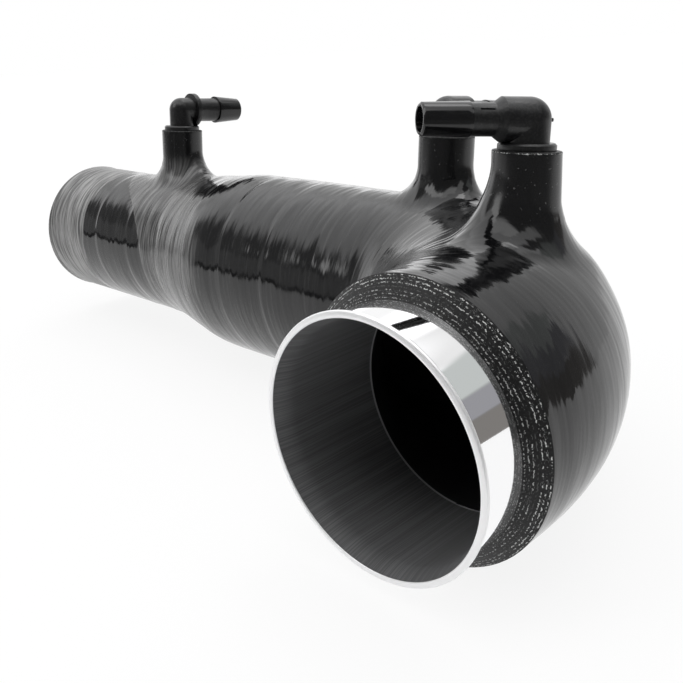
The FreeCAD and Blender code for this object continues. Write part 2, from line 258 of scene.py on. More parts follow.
def plan_place(breaks, number, nudge):
    """Which part of a plan each row or ring lies in, and how far through it."""
    part = np.clip(np.searchsorted(breaks, number + nudge, side="right") - 1, 0, len(breaks) - 2)
    return part, (number - breaks[part]) / np.diff(breaks)[part]


def take(thing):
    """Makes an object the active one and the only one selected."""
    bpy.ops.object.select_all(action="DESELECT")
    bpy.context.view_layer.objects.active = thing
    thing.select_set(True)


def close_mesh(merge_to, close, crease):
    """Merges the edited mesh's doubles, closes its open edges by an operator, and smooths it."""
    bpy.ops.mesh.select_all(action="SELECT")
    bpy.ops.mesh.remove_doubles(threshold=merge_to)
    bpy.ops.mesh.select_all(action="DESELECT")
    bpy.ops.mesh.select_mode(type="EDGE")
    bpy.ops.mesh.select_non_manifold(extend=False, use_wire=False, use_multi_face=False,
                                     use_non_contiguous=False, use_verts=False)
    close()
    bpy.ops.mesh.select_all(action="SELECT")
    bpy.ops.mesh.normals_make_consistent()
    bpy.ops.object.mode_set(mode="OBJECT")
    bpy.ops.object.shade_smooth_by_angle(angle=math.radians(crease))


def in_window(window, row, column, edge=0.1):
    """Whether rows and columns lie in a window, its border included."""
    (row_a, row_b), (col_a, col_b) = window
    return (row > row_a - edge) & (row < row_b + edge) & (column > col_a - edge) & (column < col_b + edge)


def window_of(key):
    """First and last row and column of a boss's window."""
    back, ahead, low, high = WINDOWS[key]
    pitch = (HOSE_LENGTH - MOUTH_BEVEL) / ROW_PLAN[0][1]
    s, theta = BOSSES[key]["s"], BOSSES[key]["theta"]
    rows = (round((s - back - MOUTH_BEVEL) / pitch), round((s + ahead - MOUTH_BEVEL) / pitch))
    column = theta / math.tau * COLUMNS
    reach = COLUMNS / 360.0
    return rows, (round(column - low * reach), round(column + high * reach))


bpy.ops.mesh.primitive_grid_add(x_subdivisions=ROWS, y_subdivisions=COLUMNS, size=1.0,
                                location=(ROWS / 2, COLUMNS / 2, 0.0))
hose = bpy.context.object
hose.name = "hose_moulding"
hose.scale = (ROWS, COLUMNS, 1.0)
bpy.ops.object.transform_apply()
print("sheet of", ROWS, "rows and", COLUMNS, "columns of vertices")

# %% [markdown]
# ## Windows
# Faces and edges are picked by where they lie on the sheet, so no selection is made by hand.

# %% Cut the windows and raise their edges


def select_where(kind, test):
    """Selects the sheet's faces or edges that pass a test of the item and its middle."""
    bpy.ops.mesh.select_mode(type="FACE" if kind == "faces" else "EDGE")
    sheet = bmesh.from_edit_mesh(hose.data)
    for item in getattr(sheet, kind):
        middle = sum((v.co for v in item.verts), Vector()) / len(item.verts)
        item.select_set(bool(test(item, *middle)))
    bmesh.update_edit_mesh(hose.data)


bpy.ops.object.mode_set(mode="EDIT")
for key in BOSSES:
    window = window_of(key)
    bpy.ops.mesh.select_all(action="DESELECT")
    select_where("faces", lambda face, x, y, z: in_window(window, x, y, 0.0) and z < FLAT)
    bpy.ops.mesh.delete(type="FACE")
    select_where("edges", lambda edge, x, y, z: edge.is_boundary and in_window(window, x, y) and z < FLAT)
    bpy.ops.mesh.extrude_region_move(TRANSFORM_OT_translate={"value": (0.0, 0.0, 1.0)})
    select_where("edges", lambda edge, x, y, z: in_window(window, x, y) and abs(z - 0.5) < FLAT)
    bpy.ops.mesh.subdivide(number_cuts=RINGS - 1)
    print(key, "window: rows and columns", window)
bpy.ops.object.mode_set(mode="OBJECT")
print("sheet with chimneys:", len(hose.data.vertices), "vertices")

# %% [markdown]
# ## Wrap the sheet
# Now each vertex is sent from the sheet to its place on the hose. Rows become distances along the
# centreline and columns become turns round it. A chimney's rings first run in over the tube, then climb
# the blend, the wall, the rounded top edge and the flat top, and drop into the bore.

# %% Places of the sheet's own vertices


def read(items, name, width=1, kind=np.int64):
    """Reads one value of all the vertices, loops or faces of a mesh."""
    values = np.empty(len(items) * width, dtype=kind)
    items.foreach_get(name, values)
    return values


def sheet_places(row, column):
    s = np.interp(row, ROW_BREAKS, ROW_S)
    part, t = plan_place(ROW_BREAKS, row, 1e-4)
    radius = np.select(
        [part == 0, part == 1, part == 2, part == 3, part == 4],
        [outer_radius(s), CUFF_R + (CUFF_BORE_R - CUFF_R) * t, duct_radius(s),
         DUCT_R + (SEAT_R - DUCT_R) * t, np.full_like(s, SEAT_R)],
        SEAT_R + (MOUTH_R - SEAT_R) * t)
    theta = column / COLUMNS * math.tau
    centre, side = centreline(s)
    up = np.array([0.0, 0.0, 1.0])
    out = np.sin(theta)[:, None] * side - np.cos(theta)[:, None] * up
    return centre + radius[:, None] * out, part


row, column, ring = read(hose.data.vertices, "co", 3, np.float64).reshape(-1, 3).T
places, part = sheet_places(row, column)
outside = part == 0
print("length along the outside:", round(HOSE_LENGTH - MOUTH_BEVEL, 1), "mm")

# %% [markdown]
# ## Chimneys
# The rings of a chimney start at the window's border, which lies on the tube. They follow a curve to the
# wall and are pulled onto the blended form, so the tube turns into the boss ring by ring.

# %% Places of the chimneys' vertices


def drop_to_tube(start, axis, steps=60):
    """Slides points down an axis until they meet the plain tube."""
    p = start.copy()
    for _ in range(steps):
        s, _, reach = tube_place(p)
        p = p - axis * (reach - outer_radius(s))[:, None]
    return p


def chimney_places(key, border, ring_number):
    boss = BOSSES[key]
    axis, base, seat = boss["axis"], boss["base"], boss["seat"]
    _, radial = boss_parts(key, border)
    out = radial / np.linalg.norm(radial, axis=1)[:, None]
    stage, t = plan_place(RING_BREAKS, ring_number, -1e-4)
    # the wall's line meets the plain tube at its foot and leaves the blend higher up
    foot = drop_to_tube(base + axis * 95.0 + out * boss["radius"], axis)
    s, _, reach = tube_place(foot)
    slope = ((foot - centreline(s)[0]) / reach[:, None] * out).sum(axis=1)
    corner = (math.pi / 2 + np.arcsin(slope)) / 2
    climb = foot_round(key, radial) / np.tan(corner)
    wall_start = foot + axis * climb[:, None]
    rise = ((seat - wall_start) @ SEAT_AXIS) / (axis @ SEAT_AXIS)
    wall_start = wall_start + axis * np.minimum(rise - 1.5, 0.0)[:, None]
    bend = np.where(stage == 0, t, 1.0)[:, None]
    low = (1 - bend) ** 2 * border + 2 * bend * (1 - bend) * foot + bend ** 2 * wall_start
    low = pull_onto_hose(low)
    wall_foot = pull_onto_hose(wall_start)
    rise = ((seat - wall_foot) @ SEAT_AXIS) / (axis @ SEAT_AXIS)
    wall = wall_foot + axis * ((rise - EDGE_ROUND) * np.where(stage == 1, t, 1.0))[:, None]
    turn = np.where(stage == 2, t, 1.0) * math.pi / 2
    edge = wall + axis * (EDGE_ROUND * np.sin(turn))[:, None] - out * (EDGE_ROUND * (1 - np.cos(turn)))[:, None]
    level_out = out - (out @ SEAT_AXIS)[:, None] * SEAT_AXIS
    level_out /= np.linalg.norm(level_out, axis=1)[:, None]
    inward = np.where(stage == 3, t, 1.0)[:, None]
    mouth = seat + level_out * BOSS_BORE_R
    top = edge * (1 - inward) + mouth * inward
    depth = np.where(stage == 4, t, 0.0)[:, None]
    bore = mouth - SEAT_AXIS * BORE_DEPTH * depth
    choice = stage[:, None]
    return np.select([choice == 0, choice == 1, choice == 2, choice == 3], [low, wall, edge, top], bore), stage


places[outside] = pull_onto_hose(places[outside])
chimney_stage = np.full(len(places), -1)
for key in BOSSES:
    mine = in_window(window_of(key), row, column) & (ring > 0.001)
    border, _ = sheet_places(row[mine], column[mine])
    border = pull_onto_hose(border)
    places[mine], chimney_stage[mine] = chimney_places(key, border, ring[mine] * RINGS)
    print(key, "chimney:", int(mine.sum()), "vertices")

# %% [markdown]
# ## Wrap marks
# Tape is wound round the hose before it is cured, and its edges and creases stay printed in the skin.
# These marks run round the tube, slightly askew, and differ from strip to strip. Here they are real
# relief: strips of random height, wide and narrow, pushed out along the surface. A ply that ends on the
# cuff leaves a low step that sweeps round the far boss. They fade out on the bosses, which weren't taped.

# %% Relief
# height and width in mm of the tape's strips, and their lobes round the tube
TAPE_STRIPS = [(0.045, 2.1, 9), (0.075, 5.5, 7), (0.11, 17.0, 5)]
TAPE_SINK, PLY_STEP, TAPE_LEAN, TAPE_PHASE = 0.16, 0.30, 5.0, 0.6
# how far above the tube the tape's marks end, and where a boss's wall begins
TAPED_TO, WALL_FROM, WALL_RISE = 9.0, 7.0, 8.0
# the ply's edge: its x low on the tube, how far it reaches on top, and the sweep's width in degrees
PLY_EDGE_X, PLY_REACH, PLY_SWEEP = -90.0, 48.0, 47.7
chance = np.random.default_rng(11)


def strips(s, theta, width, lobes):
    """Smooth random heights in strips of a width in mm, each with a few lobes round the tube."""
    table = chance.uniform(-1.0, 1.0, (int(460 / width) + 3, lobes))
    u = (s + 20.0) / width
    v = theta / math.tau * lobes
    i, j = np.floor(u).astype(int), np.floor(v).astype(int)
    fu, fv = ease(u - i), ease(v - j)
    here = table[i, j % lobes] * (1 - fv) + table[i, (j + 1) % lobes] * fv
    ahead = table[i + 1, j % lobes] * (1 - fv) + table[i + 1, (j + 1) % lobes] * fv
    return here * (1 - fu) + ahead * fu


def ply_step(p, theta):
    """Height of the ply that ends on the cuff: 0 beyond its edge, 1 under it."""
    from_top = np.degrees(np.abs(np.abs(theta) - math.pi))
    edge_x = PLY_EDGE_X - PLY_REACH * np.exp(-((from_top / PLY_SWEEP) ** 2))
    return ease((p[:, 0] - edge_x) / 1.6)


skin = (outside & (chimney_stage < 0)) | (chimney_stage == 0) | (chimney_stage == 1)
p = places[skin]
s, theta, reach = tube_place(p)
above = reach - outer_radius(s)
askew = s + TAPE_LEAN * np.cos(theta - TAPE_PHASE)
taped = 1.0 - ease(above / TAPED_TO)
height = sum(amount * strips(askew, theta, width, lobes) for amount, width, lobes in TAPE_STRIPS)
from_mouth = ease((s - MOUTH_BEVEL) / 6.0)
from_end = ease((HOSE_LENGTH - s) / 4.0)
lift = height * taped * from_mouth * from_end - TAPE_SINK + PLY_STEP * (ply_step(p, theta) - 1.0) * from_end
places[skin] = p + hose_normal(p) * (lift * from_mouth * np.where(taped > 0.0, 1.0, 0.4))[:, None]
boss_wall = np.zeros(len(places))
boss_wall[skin] = ease((above - WALL_FROM) / WALL_RISE)
print("relief from", round(float(lift.min()), 2), "to", round(float(lift.max()), 2), "mm")

# %% [markdown]
# ## Coordinates that follow the cloth
# The materials need to know where they are on the hose: how far along it and how far round. The sheet's
# rows and columns say just that, so they go into a UV map named wrap. An attribute, boss_wall, tells the
# boss walls from the tube. The sheet is then merged into one closed mesh.

# %% Give the sheet its places
hose.data.vertices.foreach_set("co", (places * MM).ravel())
wall_mask = hose.data.attributes.new("boss_wall", "FLOAT", "POINT")
wall_mask.data.foreach_set("value", boss_wall.astype(np.float32))
print("vertices on boss walls:", int((boss_wall > 0.5).sum()))

# %% Finish of each face: skin, cut or inside
SKIN, CUT, INSIDE = 0, 1, 2
loop_vertex = read(hose.data.loops, "vertex_index")
starts = read(hose.data.polygons, "loop_start")
counts = read(hose.data.polygons, "loop_total")
loop_row, loop_column, loop_ring = row[loop_vertex], column[loop_vertex], ring[loop_vertex]
mean_row = np.add.reduceat(loop_row, starts) / counts
mean_ring = np.add.reduceat(loop_ring, starts) / counts * RINGS
finish = np.full(len(starts), SKIN)
finish[mean_row > ROW_BREAKS[1]] = CUT
finish[(mean_row > ROW_BREAKS[2]) & (mean_row < ROW_BREAKS[5])] = INSIDE
finish[mean_ring > RING_BREAKS[2]] = CUT
finish[mean_ring > RING_BREAKS[4]] = INSIDE
skin_material = bpy.data.materials.new("hose_skin")
cut_material = bpy.data.materials.new("hose_cut_face")
inside_material = bpy.data.materials.new("hose_inside")
for material in (skin_material, cut_material, inside_material):
    hose.data.materials.append(material)
hose.data.polygons.foreach_set("material_index", finish.astype(np.int32))
print("faces of skin, cut and inside:", np.bincount(finish).tolist())

# %% Wrap coordinates
# depth at the outer edge of a boss's cut top, and how far it falls to the bore
TOP_DEPTH = {"far": (0.52, 0.08), "mid": (0.52, 0.08), "near": (0.93, 0.13)}
TOP_TURNS = 0.25
wrap_s, wrap_theta, _ = tube_place(places)
wrap_turn = (wrap_theta / math.tau) % 1.0
turn_of = np.where(chimney_stage[loop_vertex] < 0, loop_column / COLUMNS, wrap_turn[loop_vertex])
along_of = wrap_s[loop_vertex] * MM
# on cut faces the first coordinate runs from 0 at the inner edge to 1 at the outer edge
cut_loop = np.repeat(finish, counts) == CUT
on_chimney = loop_ring > 0.001
mouth_cut = cut_loop & (loop_row >= ROW_BREAKS[5] - 0.01) & ~on_chimney
far_cut = cut_loop & (loop_row <= ROW_BREAKS[2] + 0.01) & ~on_chimney
along_of[mouth_cut] = (loop_row[mouth_cut] - ROW_BREAKS[5]) / ROW_PLAN[5][1]
along_of[far_cut] = 1.0 - (loop_row[far_cut] - ROW_BREAKS[1]) / ROW_PLAN[1][1]
for key, (edge_depth, fall) in TOP_DEPTH.items():
    mine = cut_loop & on_chimney & in_window(window_of(key), loop_row, loop_column)
    _, radial = boss_parts(key, places[loop_vertex[mine]])
    turn_of[mine] = np.arctan2(radial[:, 1], radial[:, 0]) / math.tau * TOP_TURNS
    inward = (loop_ring[mine] * RINGS - RING_BREAKS[2]) / (RING_BREAKS[4] - RING_BREAKS[2])
    along_of[mine] = edge_depth - fall * inward
wrap_map = hose.data.uv_layers[0]
wrap_map.name = "wrap"
wrap_map.data.foreach_set("uv", np.stack([along_of, turn_of], axis=1).astype(np.float32).ravel())
print("wrap map on", len(along_of), "corners")

# %% Close the wrapped sheet
take(hose)
bpy.ops.object.mode_set(mode="EDIT")
close_mesh(0.00001, bpy.ops.mesh.edge_face_add, 40)
check = bmesh.new()
check.from_mesh(hose.data)
open_edges = sum(1 for e in check.edges if not e.is_manifold)
triangles = sum(len(f.verts) - 2 for f in check.faces)
volume = round(check.calc_volume() * 1e6, 1)
print("hose:", triangles, "triangles,", open_edges, "open edges, volume cm3", volume)
check.free()
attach(hose, "root")
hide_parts("silicone_hose")

# %% [markdown]
# ## Node helpers
# Every finish below is a handful of nodes. These helpers add a node, set its inputs and link it, so that
# each material reads as a short list of what feeds what. They all work on the tree in hand, which is named
# tree, so each cell first says which tree that is.

# %% Helpers for node trees


def fill(made, inputs):
    """Links or sets a node's inputs by name or number."""
    for name, value in inputs.items():
        if isinstance(value, bpy.types.NodeSocket):
            tree.links.new(value, made.inputs[name])
        else:
            made.inputs[name].default_value = value


def node(kind, inputs=None, **settings):
    """Adds a node, sets its properties and fills its inputs."""
    made = tree.nodes.new(kind)
    for name, value in settings.items():
        setattr(made, name, value)
    fill(made, inputs or {})
    return made


def sums(operation, a, b=0.0, c=0.0):
    return node("ShaderNodeMath", {0: a, 1: b, 2: c}, operation=operation).outputs[0]


def times(a, b):
    return sums("MULTIPLY", a, b)


def minus(a, b):
    return sums("SUBTRACT", a, b)


def times_plus(a, b, c):
    return sums("MULTIPLY_ADD", a, b, c)


def steps(value, low, high, to_low=0.0, to_high=1.0):
    """Maps a value from one range to another, with soft ends."""
    return node("ShaderNodeMapRange", {
        "Value": value, "From Min": low, "From Max": high, "To Min": to_low, "To Max": to_high},
        interpolation_type="SMOOTHSTEP").outputs["Result"]


def blend(factor, a, b):
    """Mixes two colours, each a red, green and blue or a socket."""
    a, b = (end if isinstance(end, bpy.types.NodeSocket) else (*end, 1.0) for end in (a, b))
    return node("ShaderNodeMix", {"Factor": factor, 6: a, 7: b}, data_type="RGBA").outputs[2]


def split(vector):
    return node("ShaderNodeSeparateXYZ", {0: vector}).outputs


def join(x, y, z):
    return node("ShaderNodeCombineXYZ", {0: x, 1: y, 2: z}).outputs[0]


def noise(place, scale=1.0, detail=3.0, roughness=0.5):
    return node("ShaderNodeTexNoise", {
        "Vector": place, "Scale": scale, "Detail": detail, "Roughness": roughness}).outputs["Fac"]


def bump(height, strength, distance):
    return node("ShaderNodeBump", {
        "Height": height, "Strength": strength, "Distance": distance}).outputs["Normal"]


def own_place():
    return node("ShaderNodeTexCoord").outputs["Object"]


def new_group(name, inputs, outputs):
    """Makes a node group from names and kinds of sockets, and gives its tree and its inputs."""
    group = bpy.data.node_groups.new(name, "ShaderNodeTree")
    for side, sockets in (("INPUT", inputs), ("OUTPUT", outputs)):
        for socket, kind in sockets.items():
            group.interface.new_socket(socket, in_out=side, socket_type="NodeSocket" + kind)
    return group, group.nodes.new("NodeGroupInput").outputs


def dress(material):
    """Turns on a material's nodes and gives its tree and its shader."""
    material.use_nodes = True
    return material.node_tree, material.node_tree.nodes["Principled BSDF"]


# %% [markdown]
# ## Wrap streaks
# The skin's gloss is broken into strips too fine to model, a millimetre or less wide. They follow the
# tape, so the pattern must run round the tube and never show a seam. The group takes the wrap map, turns
# the second coordinate into a place on a circle, and stretches noise along it. It puts out two streak
# values, a mask of the brushed zones and a tilted normal colour.

# %% Group: wrap streaks
# metres along the hose: the tape's skew, pitch and first edges, the cuff's brushed end and the brushed ply
SKEW, TAPE_PITCH, TAPE_START, TAPE_FROM = 0.005, 0.0296, 0.0100, 0.15
END_ZONE, PLY_FROM, PLY_TO, PLY_TOP_DELAY = 0.3525, 0.2365, 0.2926, 0.042
# streaks in a metre, and how strongly the ply and the low side of the tube are brushed
FINE_STREAKS, BROAD_STREAKS, PLY_BRUSHED, LOW_BRUSHED = 900.0, 130.0, 0.48, 0.2
streaks, given = new_group("wrap_streaks", {"Wrap": "Vector", "Wall": "Float"},
                           {"Fine": "Float", "Broad": "Float", "Brushed": "Float", "Tilt": "Color"})
tree = streaks
wrap_x, wrap_y, _ = split(given["Wrap"])
angle = times(wrap_y, math.tau)
around_x = sums("COSINE", angle)
around_y = sums("SINE", angle)
along = times_plus(around_x, SKEW, wrap_x)


def streak_noise(per_metre, around, detail, seed):
    place = join(times_plus(along, per_metre, seed), times(around_x, around), times(around_y, around))
    return noise(place, detail=detail, roughness=0.6)


fine = streak_noise(FINE_STREAKS, 1.8, 3.0, 3.0)
broad = streak_noise(BROAD_STREAKS, 1.3, 2.0, 17.0)
print("fine streaks:", FINE_STREAKS, "a metre")

# %% Brushed zones: the end of the far cuff, the ply that covers the flare, and the low side
ragged = times_plus(broad, 0.008, minus(wrap_x, 0.004))
end_zone = steps(ragged, END_ZONE - 0.0008, END_ZONE + 0.0008)
from_top = sums("ABSOLUTE", minus(wrap_y, 0.5))
sweep = sums("POWER", times(from_top, 360.0 / PLY_SWEEP), 2.0)
over_top = sums("EXPONENT", times(sweep, -1.0))
ply_edge = times_plus(over_top, PLY_REACH * MM, PLY_TO)
under_ply = steps(minus(ply_edge, wrap_x), 0.0, 0.0008)
near_top = sums("EXPONENT", times(sweep, -1.3))
past_start = minus(ragged, times(near_top, PLY_TOP_DELAY))
ply_zone = times(under_ply, steps(past_start, PLY_FROM - 0.005, PLY_FROM + 0.005))
low_side = times(steps(around_x, -0.15, 0.5), steps(along, 0.15, 0.20))
off_wall = minus(1.0, given["Wall"])
brushed = sums("MAXIMUM", end_zone, times(ply_zone, PLY_BRUSHED))
brushed = sums("MAXIMUM", brushed, times(low_side, LOW_BRUSHED))
brushed = times(brushed, off_wall)
print("cuff brushed from", END_ZONE, "m")

# %% Tilt of the gloss
# how far the gloss swings round and along the tube, at least and with what is added on top or brushed
SWING_ROUND, SWING_ON_TOP, SWING_ALONG, SWING_BRUSHED, EDGE_SWING, WALL_CALM = 0.03, 0.17, 0.10, 0.28, 0.12, 0.8
on_top = steps(around_x, 0.1, -0.8)
tilt_round = streak_noise(420.0, 2.2, 3.0, 41.0)
tilt_along = streak_noise(FINE_STREAKS, 1.6, 3.0, 77.0)
tape = sums("FRACT", sums("DIVIDE", minus(along, TAPE_START), TAPE_PITCH))
tape_edge = times(steps(tape, 0.0, 0.05), steps(tape, 0.05, 0.14, 1.0, 0.0))
tape_edge = times(tape_edge, steps(along, TAPE_FROM, TAPE_FROM + 0.02))
still = minus(1.0, times(given["Wall"], WALL_CALM))
swing_round = times(times_plus(on_top, SWING_ON_TOP, SWING_ROUND), still)
swing_along = times(times_plus(brushed, SWING_BRUSHED, SWING_ALONG), still)
lean_round = times_plus(minus(tilt_round, 0.5), swing_round, 0.5)
lean_along = times_plus(minus(tilt_along, 0.5), swing_along, 0.5)
edge_lean = times(times(tape_edge, still), fine)
lean_along = times_plus(edge_lean, EDGE_SWING, lean_along)
tilt = node("ShaderNodeCombineColor", {"Red": lean_along, "Green": lean_round, "Blue": 1.0})
node("NodeGroupOutput", {"Fine": fine, "Broad": broad, "Brushed": brushed, "Tilt": tilt.outputs[0]})
print("streak group:", len(tree.nodes), "nodes")

# %% [markdown]
# ## Skin
# Black silicone gets nearly all its light by reflection, so its base colour is almost black. Fine streaks
# lift it a little, a painted sheen for the streaks' broken gloss that stays faint near the elbow. Brushed
# zones are grey and rougher, and dust clings to the boss walls.

# %% Skin of the hose
# up to this many metres from the mouth the streaks' painted sheen is faint
SHEEN_FAINT_TO = 0.155
GLOSS_BLACK, STREAK_SHEEN_GREY = (0.0045, 0.0045, 0.005), (0.024, 0.024, 0.0245)
BRUSHED_GREY, DUST_GREY = (0.32, 0.318, 0.315), (0.085, 0.085, 0.085)
tree, skin_shader = dress(skin_material)
wrap_uv = node("ShaderNodeUVMap", uv_map="wrap").outputs["UV"]
wall = node("ShaderNodeAttribute", attribute_name="boss_wall").outputs["Fac"]
wrap = node("ShaderNodeGroup", {"Wrap": wrap_uv, "Wall": wall}, node_tree=streaks)
fine, broad, brushed, tilt = wrap.outputs
wrap_x = split(wrap_uv)["X"]
# painted sheen: the fine streaks lighten the black a little, and only faintly up to the elbow
sheen_share = steps(wrap_x, SHEEN_FAINT_TO - 0.03, SHEEN_FAINT_TO, 0.25, 1.0)
skin_colour = blend(times(steps(fine, 0.50, 0.76), sheen_share), GLOSS_BLACK, STREAK_SHEEN_GREY)
haze = times(brushed, steps(fine, 0.34, 0.68, 0.15, 1.0))
skin_colour = blend(haze, skin_colour, BRUSHED_GREY)
dust = noise(own_place(), 1150.0, 0.0)
specks = times(steps(dust, 0.78, 0.82), times_plus(wall, 0.85, 0.15))
skin_colour = blend(specks, skin_colour, DUST_GREY)
rough = times_plus(brushed, 0.26, steps(broad, 0.3, 0.75, 0.06, 0.17))
rough = times_plus(wall, 0.12, rough)
tilted = node("ShaderNodeNormalMap", {"Color": tilt}, uv_map="wrap")
fill(skin_shader, {"Base Color": skin_colour, "Roughness": rough, "Normal": tilted.outputs["Normal"], "IOR": 1.5})
print("skin:", len(tree.nodes), "nodes")

# %% [markdown]
# ## The cut face
# Where the hose is cut, the cloth plies show as rows of white yarn ends in black rubber: three rows near
# the inside, a plain band, three rows near the outside. The group cuts the map's depth into rows, lets
# them wander, and breaks each row into dashes with its own noise. The material uses it twice, for the
# plain yarn ends and for the fine fibres between them.

# %% Group: rows of yarn ends
yarn, given = new_group("yarn_rows", dict.fromkeys(("Depth", "Turn", "Rows", "Seed", "Crowd"), "Float"),
                        {"Mask": "Float"})
tree = yarn
angle = times(given["Turn"], math.tau)
cos_a = sums("COSINE", angle)
sin_a = sums("SINE", angle)


def ring_noise(per_radian, detail, layer):
    """Noise round the cut, different from layer to layer."""
    place = join(times(cos_a, per_radian), times(sin_a, per_radian), layer)
    return noise(place, detail=detail)


seed = given["Seed"]
wander = minus(ring_noise(6.0, 1.0, seed), 0.5)
deep = times_plus(given["Depth"], 9.0, seed)
jump = minus(ring_noise(75.0, 0.0, deep), 0.5)
depth = times_plus(wander, 0.06, given["Depth"])
depth = times_plus(jump, 0.07, depth)
row_scale = times(depth, given["Rows"])
layer = times_plus(sums("FLOOR", row_scale), 7.3, seed)
off_row = sums("ABSOLUTE", minus(sums("FRACT", row_scale), 0.5))
on_row = steps(off_row, 0.06, 0.15, 1.0, 0.0)
dash = ring_noise(54.0, 1.0, sums("ADD", layer, 21.0))
patchy = ring_noise(9.0, 1.0, sums("ADD", layer, 33.0))
limit = times_plus(patchy, -0.22, minus(0.66, given["Crowd"]))
dashes = steps(minus(dash, limit), 0.0, 0.05)
row_mask = times(on_row, dashes)
row_mask = times(row_mask, steps(patchy, 0.3, 0.55, 0.45, 1.0))
node("NodeGroupOutput", {"Mask": row_mask})
print("yarn group:", len(tree.nodes), "nodes")

# %% Material of the cut faces
YARN_ROWS, FIBRE_ROWS, FIBRE_SHARE = 7.0, 19.0, 0.28
RUBBER_BLACK, RUBBER_DUSTY, YARN_WHITE = (0.006, 0.006, 0.006), (0.016, 0.016, 0.017), (0.72, 0.73, 0.72)
PLAIN_MIDDLE, PLAIN_HALF = 0.50, 0.07
tree, cut_shader = dress(cut_material)
cut_uv = node("ShaderNodeUVMap", uv_map="wrap").outputs["UV"]
cut_x, cut_y, _ = split(cut_uv)


def yarn_mask(rows, seed, crowd):
    return node("ShaderNodeGroup", {
        "Depth": cut_x, "Turn": cut_y, "Rows": rows, "Seed": seed, "Crowd": crowd}, node_tree=yarn).outputs["Mask"]


ends, fibres = yarn_mask(YARN_ROWS, 5.0, 0.05), yarn_mask(FIBRE_ROWS, 91.0, 0.0)
from_middle = sums("ABSOLUTE", minus(cut_x, PLAIN_MIDDLE))
in_cloth = steps(from_middle, PLAIN_HALF - 0.01, PLAIN_HALF + 0.02, 0.12, 1.0)
outward = steps(cut_x, 0.1, 0.7, 0.55, 1.0)
white_yarn = sums("MAXIMUM", ends, times(fibres, FIBRE_SHARE))
white_yarn = times(white_yarn, times(in_cloth, outward))
grain = noise(own_place(), 1500.0)
rubber = blend(steps(grain, 0.35, 0.8), RUBBER_BLACK, RUBBER_DUSTY)
cut_normal = bump(times_plus(white_yarn, 1.5, grain), 0.5, 0.0002)
fill(cut_shader, {"Base Color": blend(white_yarn, rubber, YARN_WHITE), "Roughness": 0.5, "Normal": cut_normal,
                  "IOR": 1.35})
print("cut face:", len(tree.nodes), "nodes")

# %% [markdown]
# ## Inside
# The duct was moulded against the mandrel, so it is plain and dull, with a slight mottle.

# %% Material of the inside
tree, inside_shader = dress(inside_material)
mottle = noise(own_place(), 90.0)
inside_colour = blend(mottle, (0.010, 0.010, 0.010), (0.020, 0.020, 0.021))
fill(inside_shader, {"Base Color": inside_colour, "Roughness": steps(mottle, 0.3, 0.7, 0.45, 0.6)})
print("hose materials:", [m.name for m in hose.data.materials])

# %% [markdown]
# ## The sleeve
# The sleeve is a turned tube: one profile spun round the mouth's axis. Spinning gives rings of even
# quads, so the polished wall mirrors the studio without the flat spots that loose CAD triangles show.
# The profile is drawn as a chain of extruded points, wall by wall.

# %% Spin the sleeve
MOUTH_X, RIM_Y, SLEEVE_END_Y = 141.45, -78.9, -35.5
SLEEVE_R, BORE_R, LIP_R = 40.0, 38.0, 41.9
LIP_THICK, LIP_ROUND, FACE_R, INNER_ROUND, THROAT = 1.6, 0.7, 40.1, 0.4, 8.0
FLARE_R = FACE_R - INNER_ROUND
WALL_LOOPS = [-47.0, -58.0]
SPIN_STEPS = 160
# y along the mouth's axis and radius: along the outside, over the rolled lip, and back along the bore
profile = [(SLEEVE_END_Y + 0.2, SLEEVE_R - 0.01)] + [(y, SLEEVE_R) for y in (*WALL_LOOPS, -68.0)]
profile += [(RIM_Y + LIP_THICK + gap, SLEEVE_R) for gap in (4.0, 1.0, 0.3)]
profile += [(RIM_Y + LIP_THICK + 0.04, SLEEVE_R + 0.04), (RIM_Y + LIP_THICK, SLEEVE_R + 0.3)]
for k in range(13):
    roll = math.radians(15.0 * k)
    profile.append((RIM_Y + LIP_THICK - LIP_ROUND * (1 - math.cos(roll)),
                    LIP_R - LIP_ROUND * (1 - math.sin(roll))))
profile += [(RIM_Y, LIP_R - LIP_ROUND - 0.4), (RIM_Y, FACE_R)]
for k in range(1, 6):
    roll = math.radians(18.0 * k)
    profile.append((RIM_Y + INNER_ROUND * (1 - math.cos(roll)), FACE_R - INNER_ROUND * math.sin(roll)))
for k in range(1, 11):
    fall = float(ease(0.5 + k / 20) * 2 - 1)
    profile.append((RIM_Y + INNER_ROUND + (THROAT - INNER_ROUND) * k / 10, FLARE_R - (FLARE_R - BORE_R) * fall))
profile += [(y, BORE_R) for y in (RIM_Y + THROAT + 1.0, -66.0, *reversed(WALL_LOOPS))]
profile += [(SLEEVE_END_Y + 0.2, BORE_R + 0.01), (SLEEVE_END_Y, BORE_R + 0.3), (SLEEVE_END_Y, SLEEVE_R - 0.3)]

bpy.ops.mesh.primitive_plane_add(size=0.001)
sleeve = bpy.context.object
sleeve.name = "polished_sleeve"
bpy.ops.object.mode_set(mode="EDIT")
bpy.ops.mesh.select_mode(type="VERT")
bpy.ops.mesh.select_all(action="SELECT")
bpy.ops.mesh.merge(type="CENTER")
points = [Vector((MOUTH_X + r, y, AXIS_HEIGHT)) * MM for y, r in profile]
chain = bmesh.from_edit_mesh(sleeve.data)
chain.verts[:][0].co = points[0]
bmesh.update_edit_mesh(sleeve.data)
for previous, place in zip(points, points[1:]):
    bpy.ops.mesh.extrude_region_move(TRANSFORM_OT_translate={"value": tuple(place - previous)})
bpy.ops.mesh.select_all(action="SELECT")
bpy.ops.mesh.spin(steps=SPIN_STEPS, angle=math.tau, axis=(0.0, 1.0, 0.0),
                  center=(MOUTH_X * MM, 0.0, AXIS_HEIGHT * MM))
close_mesh(0.000005, bpy.ops.mesh.bridge_edge_loops, 32)
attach(sleeve, "root")
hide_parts("inlet_sleeve")
print("sleeve:", len(sleeve.data.polygons), "faces, from y", min(v.co.y for v in sleeve.data.vertices))
